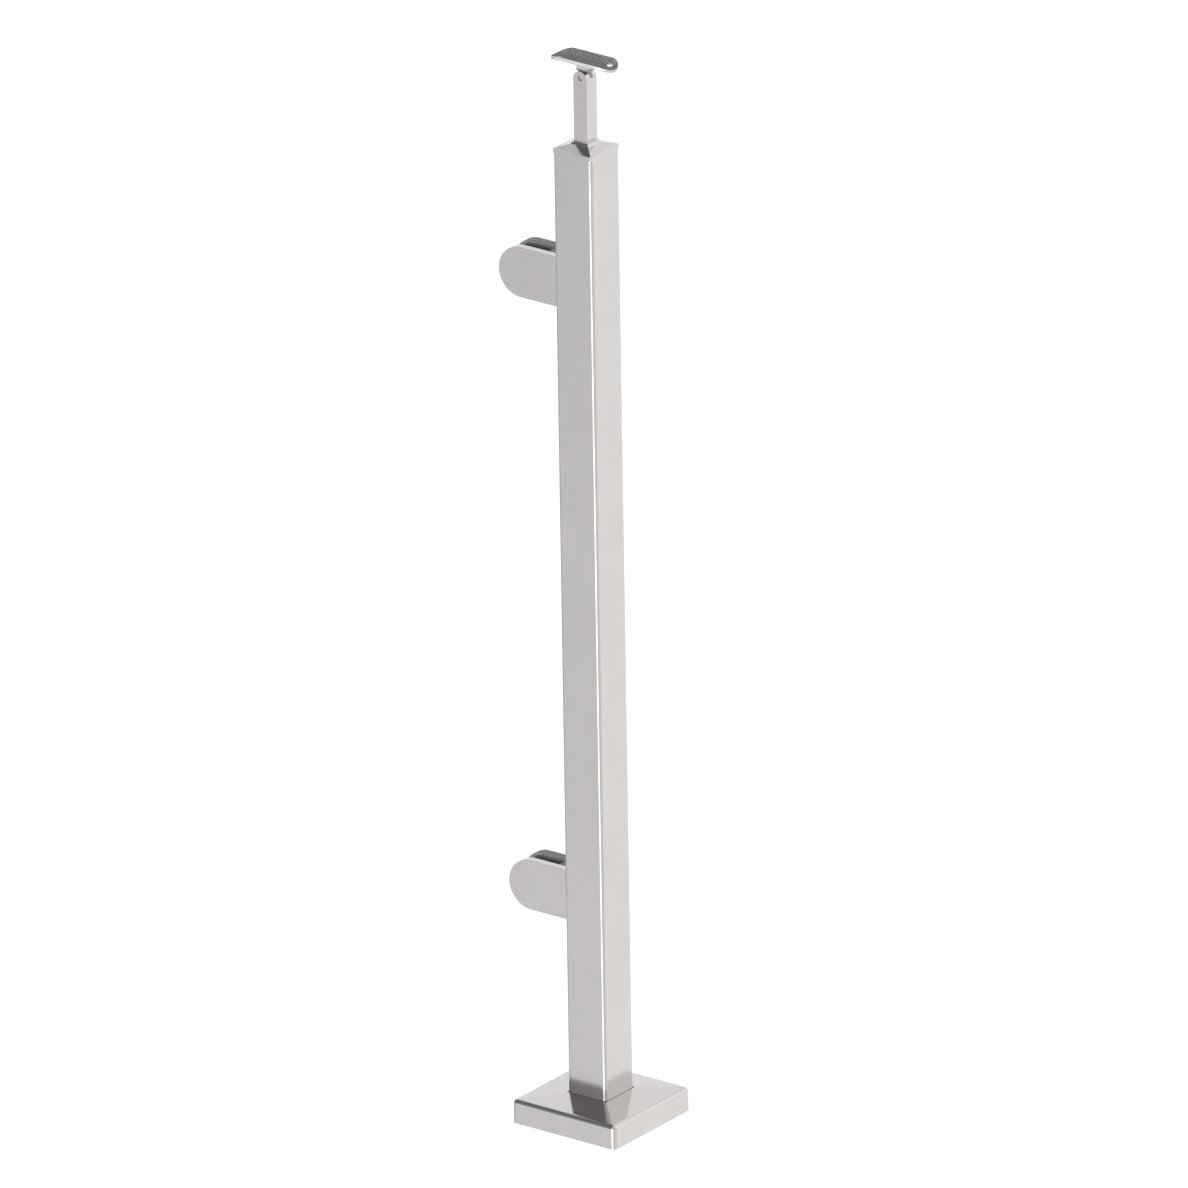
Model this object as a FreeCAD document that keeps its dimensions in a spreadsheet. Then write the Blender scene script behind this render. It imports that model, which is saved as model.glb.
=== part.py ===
import FreeCAD, Part
import math
import os
import re
import Sketcher
from FreeCAD import Vector

doc = FreeCAD.newDocument("GlassRailingPost")
sheet = doc.addObject("Spreadsheet::Sheet", "Sizes")

# Driving dimensions in millimetres. The origin is the middle of the foot on the floor, +Z is up,
# the glass clamps stand on the -X face and the handrail runs along X.
SIZES = {
    "tube_side": 40,
    "tube_wall": 2,
    "tube_corner": 3,
    "tube_top": 877,

    "flange_side": 96,
    "flange_thick": 6,
    "flange_corner": 5,
    "anchor_spacing": 70,
    "anchor_hole": 9,
    "weld_leg": 3,
    "weld_top": 0.1,

    "cover_side": 108,
    "cover_edge": 20.7,
    "cover_height": 24.2,
    "cover_round": 4,
    "cover_sheet": 1.5,
    "cover_gap": 0.4,

    "cap_lip": 4.2,
    "cap_corner": 0.9,
    "cap_rise": 3.9,
    "spigot_length": 20,
    "spigot_wall": 3,
    "spigot_gap": 0.2,
    "stem_side": 14,
    "stem_root": 2,
    "ear_round_height": 66,
    "pin_above_round": 1.1,
    "slot_width": 4.2,
    "slot_above_pin": 0.1,
    "slot_round": 6.6,

    "pin_across": 5,
    "pin_recess": 1.6,
    "pin_chamfer": 0.12,
    "pin_fit": 0.02,
    "pin_play": 0.05,
    "tongue_thick": 4,
    "tongue_end": 6.3,
    "tongue_stop_angle": 36.5,
    "neck_across": 14,
    "neck_over_ears": 8,
    "rail_radius": 21.2,
    "saddle_above_pin": 12.8,
    "saddle_thick": 2.5,
    "saddle_width": 25,
    "saddle_length": 64,
    "saddle_hole": 5.2,
    "saddle_hole_sink": 8.6,
    "saddle_hole_along": 23,
    "saddle_hole_angle": 11.8,

    "upper_clamp": 758.5,
    "lower_clamp": 202,
    "clamp_length": 63,
    "clamp_high": 45,
    "clamp_thick": 28,
    "clamp_plate": 7,
    "clamp_web": 15,
    "clamp_edge": 0.12,
    "gasket_inset": 2.7,
    "gasket_seat": 1.5,
    "gasket_proud": 3,
    "gasket_web_gap": 0.4,

    "cover_screw": 6,
    "cover_screw_head": 10,
    "cover_screw_head_high": 6,
    "cover_screw_bore": 6.4,
    "cover_screw_counterbore": 11,
    "cover_screw_sink": 0.4,
    "cover_screw_rise": 14,
    "cover_screw_in": 7.5,
    "cover_screw_bite": 5,
    "cover_screw_tip_gap": 0.5,
    "cover_screw_key": 5,
    "cover_screw_key_deep": 3,

    "post_screw": 8,
    "post_screw_head": 13,
    "post_screw_head_high": 8,
    "post_screw_length": 20,
    "post_screw_bore": 8.4,
    "post_screw_counterbore": 14,
    "post_screw_sink": 0.4,
    "post_screw_key": 6,
    "post_screw_key_deep": 4,

    "insert_body": 11,
    "insert_head": 13,
    "insert_head_high": 1,
    "insert_length": 16,
    "insert_crimp": 13.6,
    "insert_crimp_long": 5,
    "insert_seat_gap": 0.3,
    "thread_play": 0.05,
}
for row, (name, value) in enumerate(SIZES.items(), start=1):
    sheet.set(f"A{row}", name)
    sheet.set(f"B{row}", str(value))
    sheet.setAlias(f"B{row}", name)
doc.recompute()

NODES = []


def cells(text):
    """Turn a sum written with plain size names into one that points at the sheet's cells."""
    return re.sub(r"[a-z_]+", lambda word: "Sizes." + word[0] if word[0] in SIZES else word[0], text)


def worth(text):
    """Today's value of a sum of sizes."""
    return float(sheet.evalExpression(cells(str(text))))


def bind(thing, prop, text):
    """Tie a property of a feature to a sum of sizes."""
    thing.setExpression(prop, cells(str(text)))


def new_node(thing, label):
    """Give a finished sub-part its node name."""
    thing.Label = label
    NODES.append(thing)
    return thing


def new_body(label):
    """A body that will be one node."""
    return new_node(doc.addObject("PartDesign::Body", label), label)


def draw(body, name, plane, outlines, lift="0"):
    """A sketch on one of the body's own planes, lifted along the plane's normal.

    An outline is a list of steps (x, y) for a straight run to a point, (x, y, cx, cy, turn) for an
    arc about (cx, cy) that turns left (1) or right (-1), or one step (cx, cy, radius) for a circle.
    """
    sketch = body.newObject("Sketcher::SketchObject", name)
    origin = [item for item in body.Origin.OriginFeatures if item.Role == plane]
    sketch.AttachmentSupport = [(origin[0], "")]
    sketch.MapMode = "FlatFace"
    bind(sketch, "AttachmentOffset.Base.z", lift)

    def hold(kind, geometry, point, text):
        index = sketch.addConstraint(Sketcher.Constraint(kind, geometry, point, worth(text)))
        bind(sketch, f"Constraints[{index}]", text)

    for outline in outlines:
        if len(outline[0]) == 3:
            x, y, radius = outline[0]
            circle = Part.Circle(Vector(worth(x), worth(y), 0), Vector(0, 0, 1), worth(radius))
            ring = sketch.addGeometry(circle)
            index = sketch.addConstraint(Sketcher.Constraint("Radius", ring, worth(radius)))
            bind(sketch, f"Constraints[{index}]", radius)
            hold("DistanceX", ring, 3, x)
            hold("DistanceY", ring, 3, y)
            continue
        corners = [Vector(worth(step[0]), worth(step[1]), 0) for step in outline]
        ends = []
        for number, step in enumerate(outline):
            start = corners[number - 1]
            finish = corners[number]
            if len(step) == 2:
                run = sketch.addGeometry(Part.LineSegment(start, finish))
                ends.append((run, 1, 2))
                continue
            middle = Vector(worth(step[2]), worth(step[3]), 0)
            first, last = (start, finish) if step[4] > 0 else (finish, start)
            from_angle = math.atan2(first.y - middle.y, first.x - middle.x)
            to_angle = math.atan2(last.y - middle.y, last.x - middle.x)
            whole = Part.Circle(middle, Vector(0, 0, 1), (first - middle).Length)
            run = sketch.addGeometry(Part.ArcOfCircle(whole, from_angle, to_angle))
            ends.append((run, 1, 2) if step[4] > 0 else (run, 2, 1))
            upright = abs(finish.y - start.y) >= abs(finish.x - start.x)
            hold("DistanceX" if upright else "DistanceY", run, 3, step[2] if upright else step[3])
        for number, (run, _, tail) in enumerate(ends):
            following, head, _ = ends[(number + 1) % len(ends)]
            sketch.addConstraint(Sketcher.Constraint("Coincident", run, tail, following, head))
            hold("DistanceX", run, tail, outline[number][0])
            hold("DistanceY", run, tail, outline[number][1])
    return sketch


def square(side, corner=None):
    """A square about the middle, sharp or with rounded corners."""
    far = f"({side}) / 2"
    if corner is None:
        return [(far, f"-{far}"), (far, far), (f"-{far}", far), (f"-{far}", f"-{far}")]
    near = f"({far} - ({corner}))"
    return [
        (far, f"-{near}", near, f"-{near}", 1), (far, near),
        (near, far, near, near, 1), (f"-{near}", far),
        (f"-{far}", near, f"-{near}", near, 1), (f"-{far}", f"-{near}"),
        (f"-{near}", f"-{far}", f"-{near}", f"-{near}", 1), (near, f"-{far}"),
    ]


def extrude(body, name, sketch, length, cut=False, both=False, back=False):
    """Pad or pocket a sketch, one way or to both sides. A pocket must take something away."""
    before = body.Shape.Volume if cut else 0
    feature = body.newObject("PartDesign::Pocket" if cut else "PartDesign::Pad", name)
    feature.Profile = sketch
    feature.SideType = "Symmetric" if both else "One side"
    feature.Reversed = back
    bind(feature, "Length", length)
    doc.recompute()
    if cut and feature.Shape.Volume > before - 1e-3:
        raise RuntimeError(f"{name} cuts nothing")
    return feature


def slope(body, name, foot, top, low, high):
    """Cut the top of a square block to four slopes, from its sides up to a smaller square."""
    for plane in ("XZ_Plane", "YZ_Plane"):
        wedges = draw(body, f"{name}_{plane[:2]}", plane, [[
            (f"{side} * ({foot}) / 2", low), (f"{side} * ({foot}) / 2", high),
            (f"{side} * ({top}) / 2", high),
        ] for side in (-1, 1)])
        extrude(body, f"{name}_{plane[:2]}_cut", wedges, f"2 * ({foot})", cut=True, both=True)


def ease(body, name, kind, size, wanted):
    """Round or chamfer the edges that a test picks out of the body's last feature."""
    base = body.Tip
    edges = [f"Edge{n}" for n, edge in enumerate(base.Shape.Edges, start=1) if wanted(edge)]
    feature = body.newObject("PartDesign::" + kind, name)
    feature.Base = (base, edges)
    bind(feature, "Radius" if kind == "Fillet" else "Size", size)
    doc.recompute()
    return feature


def spans(edge, axis):
    """How far an edge reaches along one axis."""
    box = edge.BoundBox
    return {"x": box.XLength, "y": box.YLength, "z": box.ZLength}[axis]


def cylinder(name, across, length):
    """A round bar of a given diameter."""
    bar = doc.addObject("Part::Cylinder", name)
    bind(bar, "Radius", f"({across}) / 2")
    bind(bar, "Height", length)
    return bar


def key_screw(name, size):
    """A socket-head screw that stands on its tip: shank up from zero, head above, key hole on top."""
    shank = cylinder(name + "_shank", size["across"], f"{size['length']} + {size['head_high']}")
    head = cylinder(name + "_head", size["head"], size["head_high"])
    bind(head, "Placement.Base.z", size["length"])
    key = doc.addObject("Part::Prism", name + "_key")
    key.Polygon = 6
    bind(key, "Circumradius", f"{size['key']} / sqrt(3)")
    bind(key, "Height", size["key_deep"])
    bind(key, "Placement.Base.z", f"{size['length']} + {size['head_high']} - {size['key_deep']}")
    blank = doc.addObject("Part::Fuse", name + "_blank")
    blank.Base = shank
    blank.Tool = head
    blank.Refine = True
    screw = doc.addObject("Part::Cut", name)
    screw.Base = blank
    screw.Tool = key
    return screw


# Post tube: a welded square tube with rounded corners, drilled for the two clamp inserts
tube = new_body("post_tube")
tube_section = draw(tube, "tube_section", "XY_Plane", [
    square("tube_side", "tube_corner"),
    square("tube_side - 2 * tube_wall", "tube_corner - tube_wall"),
], "flange_thick")
extrude(tube, "tube_length", tube_section, "tube_top - flange_thick")
insert_holes = draw(tube, "insert_holes", "YZ_Plane", [
    [("0", "lower_clamp", "insert_body / 2")],
    [("0", "upper_clamp", "insert_body / 2")],
])
extrude(tube, "insert_drilling", insert_holes, "tube_side", cut=True)

# Floor flange: a square plate with four anchor holes and the weld bead round the foot of the tube
flange = new_body("base_flange")
flange_plate = draw(flange, "flange_plate", "XY_Plane", [
    square("flange_side", "flange_corner"),
    *[[(f"{x} * anchor_spacing / 2", f"{y} * anchor_spacing / 2", "anchor_hole / 2")]
      for x in (-1, 1) for y in (-1, 1)],
])
extrude(flange, "flange_thickness", flange_plate, "flange_thick")
bead_foot = draw(flange, "bead_foot", "XY_Plane", [
    square("tube_side + 2 * weld_leg", "tube_corner + weld_leg"),
], "flange_thick")
bead_top = draw(flange, "bead_top", "XY_Plane", [
    square("tube_side + 2 * weld_top", "tube_corner + weld_top"),
], "flange_thick + weld_leg")
bead = flange.newObject("PartDesign::AdditiveLoft", "weld_bead")
bead.Profile = bead_foot
bead.Sections = [bead_top]
bead.Ruled = True
doc.recompute()
tube_seat = draw(flange, "tube_seat", "XY_Plane", [
    square("tube_side", "tube_corner"),
], "flange_thick + weld_leg")
extrude(flange, "tube_seat_cut", tube_seat, "weld_leg", cut=True)

# Base cover: pressed from sheet, four low slopes rising to a sharp square hole round the tube
cover = new_body("base_cover")
skirt = draw(cover, "cover_skirt", "XY_Plane", [square("cover_side")])
extrude(cover, "cover_block", skirt, "cover_height")
slope(cover, "cover_slopes", "cover_side", "tube_side + 2 * cover_gap", "cover_edge", "cover_height")


def is_cover_outer_edge(edge):
    box = edge.BoundBox
    rim_or_hole = box.ZLength < 1e-6 and (box.ZMax < 1e-6 or box.ZMin > worth("cover_height") - 1e-6)
    return not rim_or_hole


rounds = ease(cover, "cover_rounds", "Fillet", "cover_round", is_cover_outer_edge)
shell = cover.newObject("PartDesign::Thickness", "cover_shell")
underside = [f"Face{n}" for n, face in enumerate(rounds.Shape.Faces, start=1) if face.BoundBox.ZMax < 1e-6]
shell.Base = (rounds, underside)
shell.Reversed = True
bind(shell, "Value", "cover_sheet")
doc.recompute()
cover_hole = draw(cover, "cover_hole", "XY_Plane", [square("tube_side + 2 * cover_gap")], "cover_height")
extrude(cover, "cover_hole_cut", cover_hole, "cover_edge", cut=True)

# Top cap: one casting with a hollow spigot in the tube, a pyramid shoulder, a square stem and a fork
cap = new_body("top_cap")
bind(cap, "Placement.Base.z", "tube_top")
lip = draw(cap, "cap_lip_outline", "XY_Plane", [square("tube_side", "cap_corner")])
extrude(cap, "cap_lip_pad", lip, "cap_lip")
shoulder = draw(cap, "shoulder_foot", "XY_Plane", [square("tube_side - cap_corner")], "cap_lip")
extrude(cap, "shoulder_block", shoulder, "cap_rise")
slope(cap, "shoulder_slopes", "tube_side - cap_corner", "stem_side", "cap_lip", "cap_lip + cap_rise")
stem = draw(cap, "stem_outline", "XZ_Plane", [[
    ("-stem_side / 2", "cap_lip"), ("stem_side / 2", "cap_lip"),
    ("stem_side / 2", "ear_round_height"),
    ("-stem_side / 2", "ear_round_height", "0", "ear_round_height", 1),
]])
extrude(cap, "stem_pad", stem, "stem_side", both=True)


def is_stem_root(edge):
    box = edge.BoundBox
    level = worth("cap_lip + cap_rise")
    return abs(box.ZMin - level) < 1e-4 and box.ZLength < 1e-4


ease(cap, "stem_root_fillet", "Fillet", "stem_root", is_stem_root)
fork_slot = draw(cap, "fork_slot", "YZ_Plane", [[
    ("-slot_width / 2", "ear_round_height + pin_above_round + slot_above_pin"),
    ("slot_width / 2", "ear_round_height + pin_above_round + slot_above_pin"),
    ("slot_width / 2", "ear_round_height + stem_side"),
    ("-slot_width / 2", "ear_round_height + stem_side"),
]])
extrude(cap, "fork_slot_cut", fork_slot, "2 * stem_side", cut=True, both=True)
knuckle = draw(cap, "knuckle_seat", "XZ_Plane", [
    [("0", "ear_round_height + pin_above_round", "slot_round")],
])
extrude(cap, "knuckle_seat_cut", knuckle, "slot_width", cut=True, both=True)
ear_holes = draw(cap, "ear_holes", "XZ_Plane", [
    [("0", "ear_round_height + pin_above_round", "pin_across / 2 + pin_fit")],
])
extrude(cap, "ear_drilling", ear_holes, "2 * stem_side", cut=True, both=True)
spigot = draw(cap, "spigot_section", "XY_Plane", [
    square("tube_side - 2 * tube_wall - 2 * spigot_gap", "tube_corner - tube_wall"),
    square("tube_side - 2 * tube_wall - 2 * spigot_gap - 2 * spigot_wall"),
])
extrude(cap, "spigot_pad", spigot, "spigot_length", back=True)

# Pivot pin: pressed through both ears, its ends a little below their faces
pin = cylinder("pin_bar", "pin_across", "stem_side - 2 * pin_recess")
pin.Placement = FreeCAD.Placement(Vector(), FreeCAD.Rotation(Vector(1, 0, 0), -90))
bind(pin, "Placement.Base.y", "pin_recess - stem_side / 2")
bind(pin, "Placement.Base.z", "tube_top + ear_round_height + pin_above_round")
doc.recompute()
pin_ends = doc.addObject("Part::Chamfer", "pin_ends")
pin_ends.Base = pin
pin_ends.Edges = [(n, worth("pin_chamfer"), worth("pin_chamfer"))
                  for n, edge in enumerate(pin.Shape.Edges, start=1) if spans(edge, "y") < 1e-6]
new_node(pin_ends, "pivot_pin")

# Handrail saddle: a plate bent to the rail with half-round ends on a round neck. The neck arches
# over the fork's ears and narrows to a tongue, whose shoulders stop on the fork's floor
saddle = new_body("saddle")
bind(saddle, "Placement.Base.z", "tube_top + ear_round_height + pin_above_round")
neck = draw(saddle, "neck_outline", "XY_Plane", [[("0", "0", "neck_across / 2")]])
extrude(saddle, "neck_pad", neck, "saddle_above_pin - saddle_thick / 2")
tongue = draw(saddle, "tongue_outline", "XZ_Plane", [[("0", "0", "tongue_end")]])
extrude(saddle, "tongue_pad", tongue, "tongue_thick", both=True)
for side, turn in (("1", 1), ("-1", -1)):
    shoulder_line = draw(saddle, f"shoulder_{turn}", "XZ_Plane", [[
        (f"{side} * neck_across", "0"),
        (f"{side} * neck_across", "neck_across * tan(tongue_stop_angle)"),
        (f"{side} * tongue_end * cos(tongue_stop_angle)", "tongue_end * sin(tongue_stop_angle)"),
        (f"{side} * tongue_end", "0", "0", "0", -turn),
    ]])
    extrude(saddle, f"shoulder_cut_{turn}", shoulder_line, "2 * neck_across", cut=True, both=True)
for side, back in (("1", True), ("-1", False)):
    arch = draw(saddle, f"ear_arch_{side}", "XZ_Plane", [[("0", "0", "neck_over_ears")]],
                f"{side} * tongue_thick / 2")
    extrude(saddle, f"ear_arch_cut_{side}", arch, "neck_across", cut=True, back=back)
rail_axis = "(saddle_above_pin + rail_radius)"
outer_radius = "(rail_radius + saddle_thick)"
half_width = "saddle_width / 2"
inner_rim = f"{rail_axis} - sqrt(rail_radius ^ 2 - ({half_width}) ^ 2)"
outer_rim = f"{rail_axis} - sqrt({outer_radius} ^ 2 - ({half_width}) ^ 2)"
trough = draw(saddle, "saddle_section", "YZ_Plane", [[
    (f"-{half_width}", outer_rim), (half_width, outer_rim, "0", rail_axis, 1),
    (half_width, inner_rim), (f"-{half_width}", inner_rim, "0", rail_axis, -1),
]])
extrude(saddle, "saddle_pad", trough, "saddle_length", both=True)
end_centre = "(saddle_length - saddle_width) / 2"
plan = draw(saddle, "saddle_plan", "XY_Plane", [
    square("saddle_length + saddle_width"),
    [
        (end_centre, f"-{half_width}"), (end_centre, half_width, end_centre, "0", 1),
        (f"-{end_centre}", half_width),
        (f"-{end_centre}", f"-{half_width}", f"-{end_centre}", "0", 1),
    ],
], "saddle_above_pin + rail_radius")
extrude(saddle, "saddle_trim", plan, "2 * rail_radius", cut=True)
pivot_hole = draw(saddle, "pivot_hole", "XZ_Plane", [[("0", "0", "pin_across / 2 + pin_play")]])
extrude(saddle, "pivot_drilling", pivot_hole, "2 * stem_side", cut=True, both=True)
for side, turn in (("1", 1), ("-1", -1)):
    rail_hole = draw(saddle, f"rail_hole_{turn}", "XY_Plane", [[("0", "0", "saddle_hole / 2")]],
                     f"{rail_axis} - {outer_radius} * cos(saddle_hole_angle)")
    rail_hole.AttachmentOffset = FreeCAD.Placement(Vector(), FreeCAD.Rotation(Vector(1, 0, 0), 180))
    bind(rail_hole, "AttachmentOffset.Base.x", f"{side} * saddle_hole_along")
    bind(rail_hole, "AttachmentOffset.Base.y", f"{side} * {outer_radius} * sin(saddle_hole_angle)")
    bind(rail_hole, "AttachmentOffset.Rotation.Angle", f"180 + {side} * saddle_hole_angle")
    doc.recompute()
    sunk = saddle.newObject("PartDesign::Hole", f"rail_hole_sunk_{turn}")
    sunk.Profile = rail_hole
    sunk.ThreadType = "None"
    sunk.DepthType = "ThroughAll"
    sunk.HoleCutType = "Countersink"
    sunk.HoleCutCustomValues = True
    sunk.HoleCutCountersinkAngle = 90
    bind(sunk, "Diameter", "saddle_hole")
    bind(sunk, "HoleCutDiameter", "saddle_hole_sink")
    doc.recompute()

# Glass clamps: a body with the web that stands on the post, a clean front plate, two rubber pads,
# two screws that draw the plates together from behind, and one screw into an insert in the tube
POST_FACE = "-tube_side / 2"
PLATE_INNER = "(clamp_thick / 2 - clamp_plate)"
END_CENTRE = "(clamp_high / 2 - tube_side / 2 - clamp_length)"
WEB_FACE = "(-tube_side / 2 - clamp_web)"
PAD_RADIUS = "(clamp_high / 2 - gasket_inset)"
PAD_EDGE = f"({WEB_FACE} - gasket_web_gap)"
COVER_SCREW_X = "(-tube_side / 2 - cover_screw_in)"
SCREW_SIDES = (-1, 1)


def plate_outline(edge, radius):
    """Flat at the post end, half round at the free end."""
    return [
        (edge, f"-{radius}"), (edge, radius), (END_CENTRE, radius),
        (END_CENTRE, f"-{radius}", END_CENTRE, "0", 1),
    ]


def cover_screw_circles(across):
    """One circle for each of the two screws that hold the plates together."""
    return [[(COVER_SCREW_X, f"{side} * cover_screw_rise", f"({across}) / 2")] for side in SCREW_SIDES]


def is_outer_face_edge(side):
    """Edges round the plate's outside face, on the front (-1) or the rear (1)."""
    level = side * worth("clamp_thick / 2")
    return lambda edge: spans(edge, "y") < 1e-4 and abs(edge.BoundBox.YMin - level) < 1e-4 \
        and abs(edge.BoundBox.XMax - worth(POST_FACE)) > 1e-4


def make_clamp(level, height):
    """All the pieces of one clamp, its middle at the given height."""
    seat_face = f"{PLATE_INNER} + gasket_seat"
    pad_thick = "gasket_seat + gasket_proud"

    body = new_body(f"{level}_clamp_body")
    bind(body, "Placement.Base.z", height)
    rear = draw(body, level + "_rear_plate", "XZ_Plane",
                [plate_outline(POST_FACE, "clamp_high / 2")], f"-{PLATE_INNER}")
    extrude(body, level + "_rear_pad", rear, "clamp_plate", back=True)
    web = draw(body, level + "_web", "XZ_Plane", [[
        (WEB_FACE, "-clamp_high / 2"), (POST_FACE, "-clamp_high / 2"),
        (POST_FACE, "clamp_high / 2"), (WEB_FACE, "clamp_high / 2"),
    ]])
    extrude(body, level + "_web_pad", web, f"2 * {PLATE_INNER}", both=True)
    ease(body, level + "_rear_edge", "Chamfer", "clamp_edge", is_outer_face_edge(1))
    rear_seat = draw(body, level + "_rear_seat", "XZ_Plane",
                     [plate_outline(PAD_EDGE, PAD_RADIUS)], f"-{PLATE_INNER}")
    extrude(body, level + "_rear_seat_cut", rear_seat, "gasket_seat", cut=True)
    through = draw(body, level + "_screw_holes", "XZ_Plane",
                   cover_screw_circles("cover_screw_bore"))
    extrude(body, level + "_screw_drilling", through, "2 * clamp_thick", cut=True, both=True)
    sinks = draw(body, level + "_screw_sinks", "XZ_Plane",
                 cover_screw_circles("cover_screw_counterbore"), "-clamp_thick / 2")
    extrude(body, level + "_sink_drilling", sinks, "cover_screw_head_high + cover_screw_sink",
            cut=True, back=True)
    post_hole = draw(body, level + "_post_hole", "YZ_Plane",
                     [[("0", "0", "post_screw_bore / 2")]])
    extrude(body, level + "_post_drilling", post_hole, "2 * clamp_length", cut=True, both=True)
    post_sink = draw(body, level + "_post_sink", "YZ_Plane",
                     [[("0", "0", "post_screw_counterbore / 2")]], WEB_FACE)
    extrude(body, level + "_post_sink_drilling", post_sink, "post_screw_head_high + post_screw_sink",
            cut=True, back=True)
    insert_seat = draw(body, level + "_insert_seat", "YZ_Plane",
                       [[("0", "0", "insert_head / 2 + insert_seat_gap")]], POST_FACE)
    extrude(body, level + "_insert_seat_drilling", insert_seat, "insert_head_high + insert_seat_gap",
            cut=True)

    front = new_body(f"{level}_clamp_cover")
    bind(front, "Placement.Base.z", height)
    front_plate = draw(front, level + "_front_plate", "XZ_Plane",
                       [plate_outline(POST_FACE, "clamp_high / 2")], PLATE_INNER)
    extrude(front, level + "_front_pad", front_plate, "clamp_plate")
    ease(front, level + "_front_edge", "Chamfer", "clamp_edge", is_outer_face_edge(-1))
    front_seat = draw(front, level + "_front_seat", "XZ_Plane",
                      [plate_outline(PAD_EDGE, PAD_RADIUS)], PLATE_INNER)
    extrude(front, level + "_front_seat_cut", front_seat, "gasket_seat", cut=True, back=True)
    blind = draw(front, level + "_blind_holes", "XZ_Plane",
                 cover_screw_circles("cover_screw + 2 * thread_play"), PLATE_INNER)
    extrude(front, level + "_blind_drilling", blind, "cover_screw_bite + cover_screw_tip_gap",
            cut=True, back=True)

    for side, lift, back in (("front", seat_face, True), ("rear", f"-({seat_face})", False)):
        pad = new_body(f"{level}_{side}_gasket")
        bind(pad, "Placement.Base.z", height)
        shape = draw(pad, f"{level}_{side}_pad", "XZ_Plane",
                     [plate_outline(PAD_EDGE, PAD_RADIUS)], lift)
        extrude(pad, f"{level}_{side}_rubber", shape, pad_thick, back=back)

    head_seat = "(clamp_thick / 2 - cover_screw_head_high - cover_screw_sink)"
    reach = f"({head_seat} + {PLATE_INNER} + cover_screw_bite)"
    pair = []
    for number, side in enumerate(SCREW_SIDES, start=1):
        screw = key_screw(f"{level}_cover_screw_{number}", {
            "across": "cover_screw", "head": "cover_screw_head",
            "head_high": "cover_screw_head_high", "length": reach,
            "key": "cover_screw_key", "key_deep": "cover_screw_key_deep",
        })
        screw.Placement = FreeCAD.Placement(Vector(), FreeCAD.Rotation(Vector(1, 0, 0), -90))
        bind(screw, "Placement.Base.x", COVER_SCREW_X)
        bind(screw, "Placement.Base.y", f"-({PLATE_INNER} + cover_screw_bite)")
        bind(screw, "Placement.Base.z", f"{height} + {side} * cover_screw_rise")
        pair.append(screw)
    screws = doc.addObject("Part::Compound", f"{level}_cover_screws")
    screws.Links = pair
    new_node(screws, f"{level}_cover_screws")

    post_screw = key_screw(f"{level}_mounting_screw", {
        "across": "post_screw", "head": "post_screw_head",
        "head_high": "post_screw_head_high", "length": "post_screw_length",
        "key": "post_screw_key", "key_deep": "post_screw_key_deep",
    })
    post_screw.Placement = FreeCAD.Placement(Vector(), FreeCAD.Rotation(Vector(0, 1, 0), -90))
    bind(post_screw, "Placement.Base.x",
         f"{WEB_FACE} + post_screw_sink + post_screw_head_high + post_screw_length")
    bind(post_screw, "Placement.Base.z", height)
    new_node(post_screw, f"{level}_mounting_screw")

    insert = new_body(f"{level}_rivet_nut")
    insert.Placement = FreeCAD.Placement(Vector(), FreeCAD.Rotation(Vector(0, 1, 0), 90))
    bind(insert, "Placement.Base.x", POST_FACE)
    bind(insert, "Placement.Base.z", height)
    thread = "post_screw / 2 + thread_play"
    half_section = draw(insert, level + "_insert_section", "XZ_Plane", [[
        (thread, "-insert_head_high"), ("insert_head / 2", "-insert_head_high"),
        ("insert_head / 2", "0"), ("insert_body / 2", "0"),
        ("insert_body / 2", "tube_wall"), ("insert_crimp / 2", "tube_wall"),
        ("insert_crimp / 2", "tube_wall + insert_crimp_long"),
        ("insert_body / 2", "tube_wall + insert_crimp_long"),
        ("insert_body / 2", "insert_length"), (thread, "insert_length"),
    ]])
    turned = insert.newObject("PartDesign::Revolution", level + "_insert_turned")
    turned.Profile = half_section
    turned.ReferenceAxis = (half_section, ["V_Axis"])
    turned.Angle = 360
    doc.recompute()


make_clamp("upper", "upper_clamp")
make_clamp("lower", "lower_clamp")

# Check every feature and write one file for each node
doc.recompute()
for thing in doc.Objects:
    if "Invalid" in thing.State or "Error" in thing.State:
        raise RuntimeError(f"{thing.Label} failed: {thing.State}")
os.makedirs("parts", exist_ok=True)
for node in NODES:
    if node.Shape.isNull() or not node.Shape.isValid():
        raise RuntimeError(f"{node.Label} has no sound shape")
    node.Shape.exportStep(f"parts/{node.Label}.step")
    print(f"{node.Label}: {len(node.Shape.Solids)} solid(s), {node.Shape.Volume:.0f} mm3")
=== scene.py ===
import math
import bpy
from mathutils import Matrix, Vector


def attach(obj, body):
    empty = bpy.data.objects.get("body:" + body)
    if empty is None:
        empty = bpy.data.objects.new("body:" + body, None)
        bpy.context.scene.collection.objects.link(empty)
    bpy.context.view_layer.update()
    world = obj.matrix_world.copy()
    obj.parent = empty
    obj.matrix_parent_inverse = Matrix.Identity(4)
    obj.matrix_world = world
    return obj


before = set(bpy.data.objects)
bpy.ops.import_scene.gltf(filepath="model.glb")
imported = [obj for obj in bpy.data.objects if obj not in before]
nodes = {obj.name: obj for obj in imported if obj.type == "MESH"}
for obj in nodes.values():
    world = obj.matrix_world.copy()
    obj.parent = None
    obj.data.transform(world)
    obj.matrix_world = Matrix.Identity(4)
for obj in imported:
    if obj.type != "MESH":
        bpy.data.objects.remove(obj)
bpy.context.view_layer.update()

# Post tube: a welded square tube of stainless steel with rounded corners, standing upright on the
# flange. The mill grinds it lengthwise to an even satin, so its grain runs up and down.
STAINLESS = (0.640, 0.619, 0.608)


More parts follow.
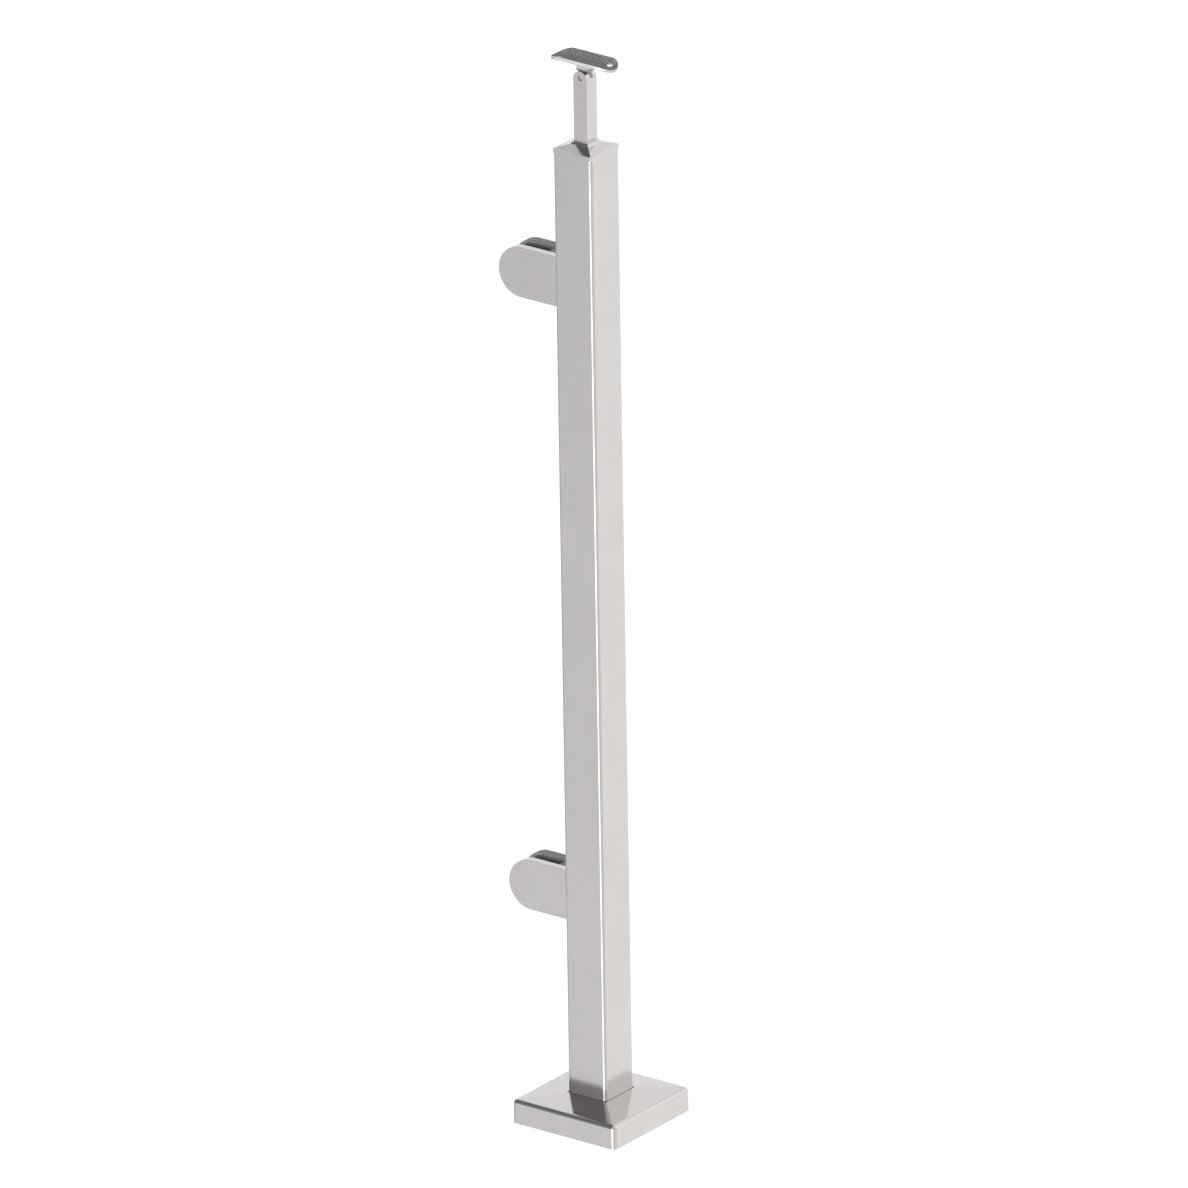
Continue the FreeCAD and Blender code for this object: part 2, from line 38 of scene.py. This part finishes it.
def add_node(tree, kind, operation=None, **settings):
    """Add a shader node and set its inputs. An underscore in a setting's name stands for a space."""
    made = tree.nodes.new("ShaderNode" + kind)
    if operation:
        made.operation = operation
    for socket, value in settings.items():
        made.inputs[socket.replace("_", " ")].default_value = value
    return made


def add_product(tree, name):
    """Add a node that multiplies two colours, A and B."""
    product = add_node(tree, "Mix")
    product.name = name
    product.data_type = "RGBA"
    product.blend_type = "MULTIPLY"
    product.inputs["Factor"].default_value = 1.0
    return product


def set_stops(ramp, stops):
    """Give a colour ramp its stops, each a position and a colour, from left to right."""
    while len(ramp.elements) < len(stops):
        ramp.elements.new(0.5)
    for element, (position, colour) in zip(ramp.elements, stops):
        element.position = position
        element.color = [*colour, 1.0]


def steel(name, colour, roughness, grain, depth, grit, metal=1.0):
    """Bare steel: a cloudy, gritty tone, a gloss that wanders along the grain, and the grain in relief."""
    finish = bpy.data.materials.new(name)
    finish.use_nodes = True
    tree = finish.node_tree
    shader = tree.nodes["Principled BSDF"]
    shader.inputs["Metallic"].default_value = metal
    place = add_node(tree, "TexCoord")

    clouds = add_node(tree, "TexNoise", Scale=30.0, Detail=3.0)
    tone = add_node(tree, "ValToRGB")
    set_stops(tone.color_ramp, ((0.25, [0.975 * part for part in colour]),
                                (0.75, [1.025 * part for part in colour])))
    tree.links.new(place.outputs["Object"], clouds.inputs["Vector"])
    tree.links.new(clouds.outputs["Fac"], tone.inputs["Fac"])

    stretch = add_node(tree, "Mapping", Scale=grain)
    threads = add_node(tree, "TexNoise", Scale=1.0, Detail=4.0)
    tree.links.new(place.outputs["Object"], stretch.inputs["Vector"])
    tree.links.new(stretch.outputs["Vector"], threads.inputs["Vector"])

    specks = add_node(tree, "MapRange", From_Min=0.3, From_Max=0.7, To_Min=1.0 - grit, To_Max=1.0 + grit)
    skin = add_product(tree, "skin")
    tree.links.new(threads.outputs["Fac"], specks.inputs["Value"])
    tree.links.new(tone.outputs["Color"], skin.inputs["A"])
    tree.links.new(specks.outputs["Result"], skin.inputs["B"])
    tree.links.new(skin.outputs["Result"], shader.inputs["Base Color"])

    gloss = add_node(tree, "MapRange", From_Min=0.25, From_Max=0.75,
                     To_Min=roughness[0], To_Max=roughness[1])
    gloss.name = "gloss"
    tree.links.new(threads.outputs["Fac"], gloss.inputs["Value"])
    tree.links.new(gloss.outputs["Result"], shader.inputs["Roughness"])

    relief = add_node(tree, "Bump", Strength=0.5, Distance=depth)
    tree.links.new(threads.outputs["Fac"], relief.inputs["Height"])
    tree.links.new(relief.outputs["Normal"], shader.inputs["Normal"])
    return finish


satin_tube = steel("satin_tube", STAINLESS, roughness=(0.14, 0.19), grain=(900.0, 900.0, 450.0),
                   depth=0.00001, grit=0.03)
nodes["post_tube"].material_slots[0].material = satin_tube

# Floor flange: a square plate flame cut from hot rolled stainless sheet and pickled, drilled for
# four anchors. The tube stands on it.
plate_steel = steel("pickled_plate", (0.50, 0.49, 0.48), roughness=(0.42, 0.6), grain=(350.0, 350.0, 350.0),
                    depth=0.00004, grit=0.08)
nodes["base_flange"].material_slots[0].material = plate_steel

# Weld: one run of filler wire round the foot of the tube, laid drop after drop and left unground.
# Each drop froze over the one before it, which leaves the ripples across the bead.
TUBE_HALF = 0.020
WELD_ROOT = 0.006
WELD_STRAIGHT = 0.034
WELD_TURN = 0.003
WELD_BITE = 0.0002
DROPS_A_SIDE = 18
DROP_RADII = (0.0024, 0.00305, 0.00305)
SLOW_SWELL, SLOW_BEAT = 0.03, 2.3
FAST_SWELL, FAST_BEAT = 0.02, 5.1
BEAD_FINENESS = 0.0003
SIDES = 4
bpy.ops.object.select_all(action="DESELECT")
bpy.ops.mesh.primitive_uv_sphere_add(segments=20, ring_count=12, radius=1.0)
drop = bpy.context.active_object
bpy.ops.object.mode_set(mode="EDIT")
bpy.ops.mesh.select_all(action="SELECT")
bpy.ops.transform.resize(value=DROP_RADII)
bpy.ops.object.mode_set(mode="OBJECT")

side_length = WELD_STRAIGHT + WELD_TURN * math.pi / 2
laid = []
for side in range(SIDES):
    for number in range(DROPS_A_SIDE):
        along = number * side_length / DROPS_A_SIDE
        bend = max(0.0, along - WELD_STRAIGHT) / WELD_TURN
        landing = Vector((min(along, WELD_STRAIGHT) - WELD_STRAIGHT / 2 + WELD_TURN * math.sin(bend),
                          -TUBE_HALF + WELD_TURN * (1.0 - math.cos(bend)), WELD_ROOT))
        swell = (1.0 + SLOW_SWELL * math.sin(SLOW_BEAT * number + side)
                 + FAST_SWELL * math.sin(FAST_BEAT * number - side))
        laid_drop = drop.copy()
        laid_drop.data = drop.data.copy()
        bpy.context.scene.collection.objects.link(laid_drop)
        laid_drop.matrix_world = (Matrix.Rotation(side * math.pi / 2, 4, "Z") @ Matrix.Translation(landing)
                                  @ Matrix.Rotation(bend, 4, "Z") @ Matrix.Scale(swell, 4))
        laid.append(laid_drop)
bpy.data.objects.remove(drop)

bpy.ops.object.select_all(action="DESELECT")
for laid_drop in laid:
    laid_drop.select_set(True)
foot_weld = laid[0]
bpy.context.view_layer.objects.active = foot_weld
bpy.ops.object.join()
bpy.ops.object.transform_apply(location=True, rotation=True, scale=True)
foot_weld.name = "foot_weld"
foot_weld.data.name = "foot_weld"
melt = foot_weld.modifiers.new("melt", "REMESH")
melt.mode = "VOXEL"
melt.voxel_size = BEAD_FINENESS
bpy.ops.object.modifier_apply(modifier="melt")
settle = foot_weld.modifiers.new("settle", "SMOOTH")
settle.factor = 0.5
settle.iterations = 3
bpy.ops.object.modifier_apply(modifier="settle")

bpy.ops.object.select_all(action="DESELECT")
bpy.ops.mesh.primitive_cube_add(size=2.0 * (TUBE_HALF - WELD_BITE), location=(0.0, 0.0, WELD_ROOT))
tube_foot = bpy.context.active_object
bpy.context.view_layer.objects.active = foot_weld
hollow = foot_weld.modifiers.new("hollow", "BOOLEAN")
hollow.operation = "DIFFERENCE"
hollow.object = tube_foot
bpy.ops.object.modifier_apply(modifier="hollow")
bpy.data.objects.remove(tube_foot)

bpy.ops.object.select_all(action="DESELECT")
foot_weld.select_set(True)
bpy.ops.object.mode_set(mode="EDIT")
bpy.ops.mesh.select_all(action="SELECT")
bpy.ops.mesh.bisect(plane_co=(0.0, 0.0, WELD_ROOT - WELD_BITE), plane_no=(0.0, 0.0, 1.0),
                    use_fill=True, clear_inner=True)
bpy.ops.mesh.select_all(action="SELECT")
bpy.ops.mesh.normals_make_consistent(inside=False)
bpy.ops.object.mode_set(mode="OBJECT")
bpy.ops.object.shade_smooth_by_angle(angle=math.radians(50.0))
laid_weld = steel("laid_weld", (0.50, 0.455, 0.41), roughness=(0.26, 0.4), grain=(450.0, 450.0, 450.0),
                  depth=0.00001, grit=0.14)
foot_weld.data.materials.clear()
foot_weld.data.materials.append(laid_weld)
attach(foot_weld, "post")

# Base cover: pressed from thin stainless sheet with four low slopes and a square hole, polished,
# and slipped loosely over the tube to hide the flange and its bolts.
cover_polish = steel("polished_cover", STAINLESS, roughness=(0.12, 0.16), grain=(700.0, 700.0, 700.0),
                     depth=0.000002, grit=0.02)
nodes["base_cover"].material_slots[0].material = cover_polish

# Rivet nuts: threaded inserts turned from steel bar, one behind each clamp. Each is set in a hole in
# the tube wall and pulled tight, and takes the screw that holds the clamp.
insert_steel = steel("turned_insert", (0.55, 0.54, 0.53), roughness=(0.3, 0.4),
                     grain=(300.0, 2500.0, 2500.0), depth=0.000006, grit=0.03)
for clamp in ("upper", "lower"):
    nodes[f"{clamp}_rivet_nut"].material_slots[0].material = insert_steel

# Clamp bodies: cast stainless with a blasted matt skin. Each one carries the rear plate and the
# web that stands against the tube. The plate's inner face, round the pad, is painted brighter, a
# painted light that lifts the shade between the two plates.
# Painted light: the body's tone is raised on the rear plate's inner face, which lies in shade.
PAD_FACE = 0.007
PAD_FACE_DEPTH = 0.0001
PAD_FACE_LIFT = 1.85
blasted_cast = steel("blasted_cast", (0.215, 0.214, 0.212), roughness=(0.6, 0.75),
                     grain=(700.0, 700.0, 700.0), depth=0.00006, grit=0.3, metal=0.25)
cast_tree = blasted_cast.node_tree
cast_place = add_node(cast_tree, "TexCoord")
cast_parts = add_node(cast_tree, "SeparateXYZ")
# Painted light: the inner face is picked out by its distance from the middle, and brightened.
milled = add_node(cast_tree, "Math", "COMPARE")
milled.inputs[1].default_value = PAD_FACE
milled.inputs[2].default_value = PAD_FACE_DEPTH
brighter = add_node(cast_tree, "MapRange", To_Min=1.0, To_Max=PAD_FACE_LIFT)
cast_tone = add_node(cast_tree, "VectorMath", "SCALE")
cast_tree.links.new(cast_place.outputs["Object"], cast_parts.inputs["Vector"])
cast_tree.links.new(cast_parts.outputs["Y"], milled.inputs[0])
cast_tree.links.new(milled.outputs["Value"], brighter.inputs["Value"])
cast_tree.links.new(cast_tree.nodes["skin"].outputs["Result"], cast_tone.inputs[0])
cast_tree.links.new(brighter.outputs["Result"], cast_tone.inputs["Scale"])
cast_tree.links.new(cast_tone.outputs["Vector"], cast_tree.nodes["Principled BSDF"].inputs["Base Color"])
for clamp in ("upper", "lower"):
    nodes[f"{clamp}_clamp_body"].material_slots[0].material = blasted_cast

# Screws: cold headed socket screws. One runs through the web into the rivet nut, and two from
# behind draw the front plate on.
screw_steel = steel("headed_screw", (0.58, 0.57, 0.56), roughness=(0.22, 0.32), grain=(900.0, 900.0, 900.0),
                    depth=0.000008, grit=0.03)
for clamp in ("upper", "lower"):
    nodes[f"{clamp}_mounting_screw"].material_slots[0].material = screw_steel
    nodes[f"{clamp}_cover_screws"].material_slots[0].material = screw_steel

# Gaskets: pads of black rubber, moulded to the outline of the clamp plates. One is pressed into the
# recess of each plate, and the two of a clamp hold the pane between them.
rubber = bpy.data.materials.new("moulded_rubber")
rubber.use_nodes = True
rubber_tree = rubber.node_tree
rubber_shader = rubber_tree.nodes["Principled BSDF"]
rubber_shader.inputs["Specular IOR Level"].default_value = 0.35
rubber_place = add_node(rubber_tree, "TexCoord")
pores = add_node(rubber_tree, "TexNoise", Scale=700.0, Detail=5.0)
rubber_tone = add_node(rubber_tree, "ValToRGB")
set_stops(rubber_tone.color_ramp, ((0.3, (0.045, 0.045, 0.045)), (0.7, (0.165, 0.165, 0.163))))
rubber_dullness = add_node(rubber_tree, "MapRange", To_Min=0.55, To_Max=0.8)
rubber_relief = add_node(rubber_tree, "Bump", Strength=0.4, Distance=0.00004)
rubber_tree.links.new(rubber_place.outputs["Object"], pores.inputs["Vector"])
rubber_tree.links.new(pores.outputs["Fac"], rubber_tone.inputs["Fac"])
rubber_tree.links.new(rubber_tone.outputs["Color"], rubber_shader.inputs["Base Color"])
rubber_tree.links.new(pores.outputs["Fac"], rubber_dullness.inputs["Value"])
rubber_tree.links.new(rubber_dullness.outputs["Result"], rubber_shader.inputs["Roughness"])
rubber_tree.links.new(pores.outputs["Fac"], rubber_relief.inputs["Height"])
rubber_tree.links.new(rubber_relief.outputs["Normal"], rubber_shader.inputs["Normal"])
for clamp in ("upper", "lower"):
    nodes[f"{clamp}_front_gasket"].material_slots[0].material = rubber
    nodes[f"{clamp}_rear_gasket"].material_slots[0].material = rubber

# Clamp covers: the clean front plates of cast stainless, tapped from behind for the cover screws.
# They are ground flat and brought to the same satin as the tube.
satin_plate = steel("satin_plate", STAINLESS, roughness=(0.15, 0.2), grain=(600.0, 900.0, 900.0),
                    depth=0.000008, grit=0.04)
for clamp in ("upper", "lower"):
    nodes[f"{clamp}_clamp_cover"].material_slots[0].material = satin_plate

# Top cap: an investment casting with a spigot in the tube, a low pyramid and a square stem that
# ends in a fork, ground to satin.
satin_cap = steel("satin_cap", STAINLESS, roughness=(0.14, 0.19), grain=(900.0, 900.0, 600.0),
                  depth=0.000006, grit=0.03)
nodes["top_cap"].material_slots[0].material = satin_cap

# Stem root: the flare where the stem grows out of the pyramid, four flat slopes mitred at the
# corners. It is cast in one with the cap, ground with it and has its satin.
ROOT_TOP, ROOT_TOP_HALF = 0.886788, 0.0068
ROOT_FOOT, ROOT_FOOT_HALF = 0.884050, 0.009720
ROOT_WALL = 0.0005
ROOT_EASE = 0.00012
bpy.ops.object.select_all(action="DESELECT")
bpy.ops.mesh.primitive_cone_add(vertices=4, radius1=ROOT_FOOT_HALF * math.sqrt(2.0),
                                radius2=ROOT_TOP_HALF * math.sqrt(2.0), depth=ROOT_TOP - ROOT_FOOT,
                                end_fill_type="NOTHING", location=(0.0, 0.0, (ROOT_TOP + ROOT_FOOT) / 2),
                                rotation=(0.0, 0.0, math.pi / 4))
stem_root = bpy.context.active_object
stem_root.name = "stem_root"
stem_root.data.name = "stem_root"
bpy.ops.object.transform_apply(location=True, rotation=True, scale=True)
thicken = stem_root.modifiers.new("thicken", "SOLIDIFY")
thicken.thickness = ROOT_WALL
thicken.offset = -1.0
bpy.ops.object.modifier_apply(modifier="thicken")
mitre = stem_root.modifiers.new("mitre", "BEVEL")
mitre.width = ROOT_EASE
mitre.segments = 2
bpy.ops.object.modifier_apply(modifier="mitre")
bpy.ops.object.shade_smooth_by_angle(angle=math.radians(30.0))
stem_root.data.materials.append(satin_cap)
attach(stem_root, "post")

# Pivot pin: a short pin cut from drawn steel bar, its grain along its length. It is pressed through
# both ears of the fork, and its ends stand a little below their faces.
pin_steel = steel("drawn_pin", (0.63, 0.61, 0.595), roughness=(0.2, 0.26), grain=(900.0, 60.0, 900.0),
                  depth=0.000006, grit=0.03)
nodes["pivot_pin"].material_slots[0].material = pin_steel

# Handrail saddle: a bent plate welded to a round neck. It is blasted dark in the trough, where the
# rail covers it, and the trough's tone is painted a little lighter toward its edges, a painted light
# on its slopes. The cut edges and the underside are ground, the neck is a pale matt satin, and the
# tongue is left as cast.
RAIL_AXIS = 0.9781
FINISH_START = 0.0208
FINISH_SPAN = 0.008
SADDLE_FINISH = (
    # distance from the rail's axis where it starts, colour, and shares of roughness, metal and grit
    (0.0208, (0.152, 0.152, 0.151), (0.85, 0.2, 1.0)),   # trough
    (0.0213, (0.70, 0.69, 0.68), (0.6, 1.0, 0.12)),      # cut edges
    (0.0234, (0.64, 0.625, 0.615), (0.45, 1.0, 0.1)),    # underside
    (0.0239, (0.80, 0.795, 0.79), (0.75, 0.2, 0.12)),    # neck
    (0.0259, (0.69, 0.68, 0.67), (0.75, 1.0, 0.12)),     # foot of the neck
    (0.0265, (0.42, 0.415, 0.41), (0.6, 1.0, 0.25)),     # tongue
)
# Painted light: the saddle's tone is raised with height, from the trough's floor up to its edges.
TROUGH_FLOOR = 0.9570
TROUGH_EDGE = 0.9590
TROUGH_EDGE_LIFT = 1.22
saddle_steel = steel("blasted_saddle", (1.0, 1.0, 1.0), roughness=(0.92, 1.08), grain=(800.0, 800.0, 800.0),
                     depth=0.00002, grit=0.6)
saddle_tree = saddle_steel.node_tree
saddle_shader = saddle_tree.nodes["Principled BSDF"]
saddle_skin = saddle_tree.nodes["skin"]
saddle_place = add_node(saddle_tree, "TexCoord")

from_rail = add_node(saddle_tree, "Mapping", Location=(0.0, 0.0, -RAIL_AXIS), Scale=(0.0, 1.0, 1.0))
distance = add_node(saddle_tree, "VectorMath", "LENGTH")
span = add_node(saddle_tree, "MapRange", From_Min=FINISH_START, From_Max=FINISH_START + FINISH_SPAN)
span_tone = add_node(saddle_tree, "ValToRGB")
span_surface = add_node(saddle_tree, "ValToRGB")
starts = [(start - FINISH_START) / FINISH_SPAN for start, colour, surface in SADDLE_FINISH]
colours = [colour for start, colour, surface in SADDLE_FINISH]
surfaces = [surface for start, colour, surface in SADDLE_FINISH]
for by_span, values in ((span_tone, colours), (span_surface, surfaces)):
    by_span.color_ramp.interpolation = "CONSTANT"
    set_stops(by_span.color_ramp, list(zip(starts, values)))
    saddle_tree.links.new(span.outputs["Result"], by_span.inputs["Fac"])
saddle_tree.links.new(saddle_place.outputs["Object"], from_rail.inputs["Vector"])
saddle_tree.links.new(from_rail.outputs["Vector"], distance.inputs[0])
saddle_tree.links.new(distance.outputs["Value"], span.inputs["Value"])

# Painted light: the tone grows lighter with height over the trough, in place of light on its slopes.
saddle_parts = add_node(saddle_tree, "SeparateXYZ")
lighter_edge = add_node(saddle_tree, "MapRange", From_Min=TROUGH_FLOOR, From_Max=TROUGH_EDGE,
                        To_Min=1.0, To_Max=TROUGH_EDGE_LIFT)
edge_tone = add_node(saddle_tree, "VectorMath", "SCALE")
saddle_tone = add_product(saddle_tree, "saddle_tone")
saddle_tree.links.new(saddle_place.outputs["Object"], saddle_parts.inputs["Vector"])
saddle_tree.links.new(saddle_parts.outputs["Z"], lighter_edge.inputs["Value"])
saddle_tree.links.new(span_tone.outputs["Color"], edge_tone.inputs[0])
saddle_tree.links.new(lighter_edge.outputs["Result"], edge_tone.inputs["Scale"])
saddle_tree.links.new(saddle_skin.outputs["Result"], saddle_tone.inputs["A"])
saddle_tree.links.new(edge_tone.outputs["Vector"], saddle_tone.inputs["B"])
saddle_tree.links.new(saddle_tone.outputs["Result"], saddle_shader.inputs["Base Color"])

surface_parts = add_node(saddle_tree, "SeparateColor")
saddle_gloss = add_node(saddle_tree, "Math", "MULTIPLY")
saddle_tree.links.new(span_surface.outputs["Color"], surface_parts.inputs["Color"])
saddle_tree.links.new(saddle_tree.nodes["gloss"].outputs["Result"], saddle_gloss.inputs[0])
saddle_tree.links.new(surface_parts.outputs["Red"], saddle_gloss.inputs[1])
saddle_tree.links.new(saddle_gloss.outputs["Value"], saddle_shader.inputs["Roughness"])
saddle_tree.links.new(surface_parts.outputs["Green"], saddle_shader.inputs["Metallic"])
saddle_tree.links.new(surface_parts.outputs["Blue"], saddle_skin.inputs["Factor"])
nodes["saddle"].material_slots[0].material = saddle_steel

# Studio floor: a wide white sheet just under the foot, which runs on to a white distance. Metal
# doesn't mirror the sheet, only a pool of light that grows across it, and from below it is clear.
FLOOR_SIZE = 120.0
FLOOR_DROP = 0.0005
FLOOR_GLOW = 0.58
POOL_START = (-1.324, -1.757, 0.0)
POOL_BEARING = math.radians(53.0)
POOL_LENGTH = 2.2
POOL_LIGHT = 0.093


def seen_by_eye(tree, rays):
    """Add a node that is 1 for rays from the camera or through something clear, and 0 for others."""
    seen = add_node(tree, "Math", "MAXIMUM")
    tree.links.new(rays.outputs["Is Camera Ray"], seen.inputs[0])
    tree.links.new(rays.outputs["Is Transmission Ray"], seen.inputs[1])
    return seen


bpy.ops.object.select_all(action="DESELECT")
bpy.ops.mesh.primitive_plane_add(size=FLOOR_SIZE, location=(0.0, 0.0, -FLOOR_DROP))
floor = bpy.context.active_object
floor.name = "studio_floor"
floor.visible_shadow = False
white = bpy.data.materials.new("studio_white")
white.use_nodes = True
floor_tree = white.node_tree
floor_tree.nodes.clear()
floor_rays = add_node(floor_tree, "LightPath")

paint = add_node(floor_tree, "BsdfDiffuse", Color=(0.6, 0.6, 0.6, 1.0))
lift = add_node(floor_tree, "Math", "MULTIPLY")
lift.inputs[1].default_value = FLOOR_GLOW
glow = add_node(floor_tree, "Emission")
lit_paint = add_node(floor_tree, "AddShader")
floor_tree.links.new(seen_by_eye(floor_tree, floor_rays).outputs["Value"], lift.inputs[0])
floor_tree.links.new(lift.outputs["Value"], glow.inputs["Strength"])
floor_tree.links.new(paint.outputs["BSDF"], lit_paint.inputs[0])
floor_tree.links.new(glow.outputs["Emission"], lit_paint.inputs[1])

floor_place = add_node(floor_tree, "TexCoord")
across_pool = add_node(floor_tree, "Mapping")
across_pool.vector_type = "TEXTURE"
across_pool.inputs["Location"].default_value = POOL_START
across_pool.inputs["Rotation"].default_value = (0.0, 0.0, POOL_BEARING)
across_pool.inputs["Scale"].default_value = (POOL_LENGTH, POOL_LENGTH, POOL_LENGTH)
pool = add_node(floor_tree, "TexGradient")
pool.gradient_type = "LINEAR"
pool_light = add_node(floor_tree, "Math", "MULTIPLY")
pool_light.inputs[1].default_value = POOL_LIGHT
pool_glow = add_node(floor_tree, "Emission")
clear = add_node(floor_tree, "BsdfTransparent")
mirrored = add_node(floor_tree, "AddShader")
floor_tree.links.new(floor_place.outputs["Object"], across_pool.inputs["Vector"])
floor_tree.links.new(across_pool.outputs["Vector"], pool.inputs["Vector"])
floor_tree.links.new(pool.outputs["Fac"], pool_light.inputs[0])
floor_tree.links.new(pool_light.outputs["Value"], pool_glow.inputs["Strength"])
floor_tree.links.new(clear.outputs["BSDF"], mirrored.inputs[0])
floor_tree.links.new(pool_glow.outputs["Emission"], mirrored.inputs[1])

from_metal = add_node(floor_tree, "MixShader")
floor_tree.links.new(floor_rays.outputs["Is Glossy Ray"], from_metal.inputs["Fac"])
floor_tree.links.new(lit_paint.outputs["Shader"], from_metal.inputs[1])
floor_tree.links.new(mirrored.outputs["Shader"], from_metal.inputs[2])
floor_face = add_node(floor_tree, "NewGeometry")
one_way = add_node(floor_tree, "MixShader")
floor_tree.links.new(floor_face.outputs["Backfacing"], one_way.inputs["Fac"])
floor_tree.links.new(from_metal.outputs["Shader"], one_way.inputs[1])
floor_tree.links.new(clear.outputs["BSDF"], one_way.inputs[2])
floor_out = add_node(floor_tree, "OutputMaterial")
floor_tree.links.new(one_way.outputs["Shader"], floor_out.inputs["Surface"])
floor.data.materials.append(white)

# Overhead softbox: a wide round lamp of plain cloth hung high over the post. It gives the soft
# shadow at the foot, and metal doesn't mirror it.
overhead = bpy.data.lights.new("overhead_softbox", "AREA")
overhead.shape = "DISK"
overhead.size = 6.0
overhead.energy = 80.0
softbox = bpy.data.objects.new("overhead_softbox", overhead)
softbox.location = (0.0, 0.0, 5.0)
softbox.visible_glossy = False
softbox.visible_camera = False
bpy.context.scene.collection.objects.link(softbox)

# Studio room: the pale walls that the metal mirrors, lighter and darker by bearing. A dark flag hangs
# high on the left of the camera, a strip lamp lies low just left of it, and a light wall is on its
# right. Matt surfaces get a soft light from the front instead, and the camera sees plain white.
ROOM_LIGHT = (
    # bearing in degrees, and the light there
    (-180, 0.70), (-170, 0.56), (-155, 0.50), (-140, 0.64), (-127, 0.775), (-110, 0.84),
    (-60, 0.66), (-45, 0.70), (-13, 0.75), (23, 0.80), (40, 0.90), (53, 0.99),
    (68, 0.96), (85, 0.87), (102, 0.97), (127, 1.0), (160, 0.83), (180, 0.70),
)
FULL_TURN = 360.0
WHITE = (1.0, 1.0, 1.0, 1.0)
world = bpy.data.worlds.new("studio_light")
bpy.context.scene.world = world
world.cycles.sampling_method = "NONE"
world.use_nodes = True
room_tree = world.node_tree
room_tree.nodes.clear()
room_rays = add_node(room_tree, "LightPath")
room_place = add_node(room_tree, "TexCoord")
around = add_node(room_tree, "TexGradient")
around.gradient_type = "RADIAL"
walls = add_node(room_tree, "ValToRGB")
set_stops(walls.color_ramp, [(bearing / FULL_TURN + 0.5, (light, light, light))
                             for bearing, light in ROOM_LIGHT])
room_tree.links.new(room_place.outputs["Generated"], around.inputs["Vector"])
room_tree.links.new(around.outputs["Color"], walls.inputs["Fac"])


def field(bearing, height, core, edge, inside, outside):
    """A round field in the room, even in its core and fading to its edge. Angles are in degrees."""
    turned, raised = math.radians(bearing), math.radians(height)
    toward = add_node(room_tree, "VectorMath", "DOT_PRODUCT")
    toward.inputs[1].default_value = (math.cos(turned) * math.cos(raised),
                                      math.sin(turned) * math.cos(raised), math.sin(raised))
    fade = add_node(room_tree, "MapRange", From_Min=math.cos(math.radians(edge)),
                    From_Max=math.cos(math.radians(core)), To_Min=outside, To_Max=inside)
    fade.interpolation_type = "SMOOTHSTEP"
    room_tree.links.new(room_place.outputs["Generated"], toward.inputs[0])
    room_tree.links.new(toward.outputs["Value"], fade.inputs["Value"])
    return fade


flag = field(bearing=-153.5, height=41.0, core=32.0, edge=51.0, inside=0.32, outside=1.0)
strip_lamp = field(bearing=-79.0, height=-6.0, core=17.0, edge=25.0, inside=2.2, outside=0.0)
light_wall = field(bearing=53.0, height=24.0, core=12.0, edge=34.0, inside=0.175, outside=0.0)
front_light = field(bearing=-92.0, height=15.0, core=0.0, edge=180.0, inside=1.2, outside=0.15)
lamps = add_node(room_tree, "Math", "ADD")
mirrored_room = add_node(room_tree, "Math", "MULTIPLY_ADD")
room_tree.links.new(strip_lamp.outputs["Result"], lamps.inputs[0])
room_tree.links.new(light_wall.outputs["Result"], lamps.inputs[1])
room_tree.links.new(walls.outputs["Color"], mirrored_room.inputs[0])
room_tree.links.new(flag.outputs["Result"], mirrored_room.inputs[1])
room_tree.links.new(lamps.outputs["Value"], mirrored_room.inputs[2])

by_surface = add_node(room_tree, "Mix")
room_light = add_node(room_tree, "Background", Color=WHITE)
white_distance = add_node(room_tree, "Background", Color=WHITE)
by_viewer = add_node(room_tree, "MixShader")
room_out = add_node(room_tree, "OutputWorld")
room_tree.links.new(room_rays.outputs["Is Diffuse Ray"], by_surface.inputs["Factor"])
room_tree.links.new(mirrored_room.outputs["Value"], by_surface.inputs["A"])
room_tree.links.new(front_light.outputs["Result"], by_surface.inputs["B"])
room_tree.links.new(by_surface.outputs["Result"], room_light.inputs["Strength"])
room_tree.links.new(seen_by_eye(room_tree, room_rays).outputs["Value"], by_viewer.inputs["Fac"])
room_tree.links.new(room_light.outputs["Background"], by_viewer.inputs[1])
room_tree.links.new(white_distance.outputs["Background"], by_viewer.inputs[2])
room_tree.links.new(by_viewer.outputs["Shader"], room_out.inputs["Surface"])

# Camera: far off with a long lens, looking down on the front right corner of the post at about 22
# degrees, and rolled by less than a degree.
EYE_BEARING = math.radians(36.868)
EYE_HEIGHT = math.radians(21.994)
EYE_ROLL = math.radians(0.908)
EYE_DISTANCE = 28.0
AIM_HEIGHT = 0.480
AIM_RIGHT = 0.00091
AIM_DOWN = 0.00312
back = Vector((math.sin(EYE_BEARING) * math.cos(EYE_HEIGHT),
               -math.cos(EYE_BEARING) * math.cos(EYE_HEIGHT), math.sin(EYE_HEIGHT)))
level_right = Vector((math.cos(EYE_BEARING), math.sin(EYE_BEARING), 0.0))
level_up = back.cross(level_right)
right = level_right * math.cos(EYE_ROLL) - level_up * math.sin(EYE_ROLL)
up = level_up * math.cos(EYE_ROLL) + level_right * math.sin(EYE_ROLL)
eye = bpy.data.cameras.new("photo_camera")
eye.sensor_width = 36.0
eye.lens = 1008.2
eye.clip_start = 1.0
eye.clip_end = 200.0
camera = bpy.data.objects.new("photo_camera", eye)
bpy.context.scene.collection.objects.link(camera)
aim = Vector((0.0, 0.0, AIM_HEIGHT)) + AIM_RIGHT * right - AIM_DOWN * up
facing = Matrix((right, up, back)).transposed().to_4x4()
camera.matrix_world = Matrix.Translation(aim + EYE_DISTANCE * back) @ facing
bpy.context.scene.camera = camera
bpy.context.scene.view_settings.view_transform = "Standard"
